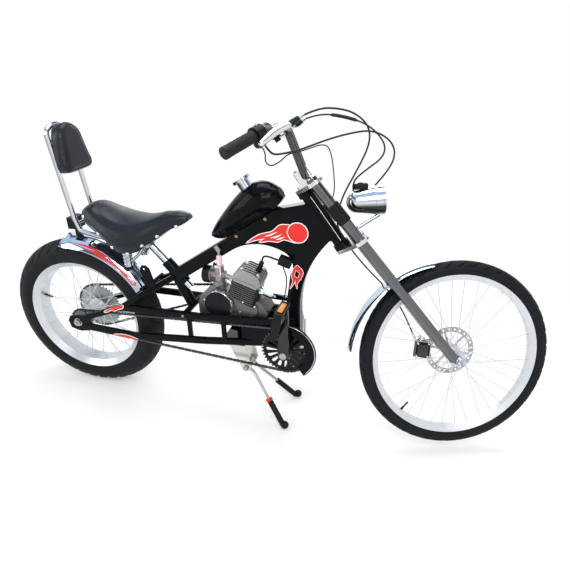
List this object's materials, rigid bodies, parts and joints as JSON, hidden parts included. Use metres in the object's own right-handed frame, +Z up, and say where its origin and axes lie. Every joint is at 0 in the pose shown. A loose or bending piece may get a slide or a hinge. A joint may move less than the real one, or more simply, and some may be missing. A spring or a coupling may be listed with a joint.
{
  "type": "motorized chopper bicycle",
  "caption": "Long-fork chopper bicycle with a small engine in its frame, pedals, a fat rear wheel, a padded saddle with a backrest and a folding centre stand.",
  "frame": {"origin": "middle of the footprint, on the floor", "axes": "+X forward, +Y to the rider's left, +Z up"},
  "size_m": [1.8557, 0.6714, 1.0643],
  "materials": {
    "black_paint": "gloss black",
    "chrome": "polished",
    "steel": "satin",
    "alloy": "cast",
    "rubber": "matt",
    "tyre": "matt",
    "black_plastic": "matt",
    "red_plastic": "gloss",
    "leather": "grained",
    "lens": "clear"
  },
  "bodies": {
    "chassis": {"frame": "black_paint", "fuel_tank": "black_paint", "tank_cap": "chrome", "fuel_tap": "alloy", "engine_case": "alloy", "clutch_cover": "black_paint", "engine_cylinder": "alloy", "engine_head": "alloy", "spark_plug": "black_plastic", "carburettor": "alloy", "exhaust": "chrome", "ignition_box": "black_plastic", "engine_chain": "steel", "pedal_chain": "steel", "chain_guard": "black_plastic", "saddle": "leather", "saddle_post": "chrome", "backrest_posts": "chrome", "backrest_pad": "leather", "rear_fender": "chrome", "tail_reflector": "black_plastic", "rear_axle": "steel", "stand_bracket": "steel"},
    "front_wheel": {"front_tyre": "tyre", "front_wheel": "steel", "brake_disc": "steel"},
    "rear_wheel": {"rear_tyre": "tyre", "rear_wheel": "steel", "rear_sprockets": "steel"},
    "crank": {"chainring": "steel", "cranks": "steel"},
    "right_pedal": {"right_pedal": "black_plastic"},
    "left_pedal": {"left_pedal": "black_plastic"},
    "stand": {"stand_legs": "steel", "stand_feet": "black_plastic"},
    "steering": {"fork_clamps": "chrome", "fork_legs": "chrome", "fork_sleeves": "black_plastic", "front_axle": "steel", "handlebar": "black_paint", "bar_stem": "alloy", "grips": "rubber", "control_housings": "black_plastic", "brake_levers": "chrome", "brake_cable": "black_plastic", "clutch_cable": "black_plastic", "throttle_cable": "black_plastic", "switch_wire": "black_plastic", "headlamp": "chrome", "headlamp_lens": "lens", "lamp_bracket": "chrome", "front_fender": "chrome", "brake_caliper": "black_plastic"}
  },
  "joints": [
    {"name": "steering", "type": "hinge", "parent": "chassis", "child": "steering", "pos_m": [0.25369, 0.01678, 0.67136], "axis": [-0.6259, 0, 0.7799], "range_deg": [-72, 28]},
    {"name": "front_wheel_spin", "type": "hinge", "parent": "steering", "child": "front_wheel", "pos_m": [0.63607, 0.05162, 0.33264], "axis": [-0.2922, 0.9272, -0.2345], "continuous": true},
    {"name": "rear_wheel_spin", "type": "hinge", "parent": "chassis", "child": "rear_wheel", "pos_m": [-0.6459, 0.01678, 0.28201], "axis": [0, 1, 0], "continuous": true},
    {"name": "crank_spin", "type": "hinge", "parent": "chassis", "child": "crank", "pos_m": [0.10579, 0.01678, 0.29672], "axis": [0, 1, 0], "continuous": true},
    {"name": "right_pedal_spin", "type": "hinge", "parent": "crank", "child": "right_pedal", "pos_m": [0.10622, 0.01678, 0.45672], "axis": [0, 1, 0], "continuous": true},
    {"name": "left_pedal_spin", "type": "hinge", "parent": "crank", "child": "left_pedal", "pos_m": [0.10536, 0.01678, 0.13672], "axis": [0, 1, 0], "continuous": true},
    {"name": "stand_fold", "type": "hinge", "parent": "chassis", "child": "stand", "pos_m": [-0.03898, 0.01678, 0.18488], "axis": [0, 1, 0], "range_deg": [0, 125]}
  ]
}
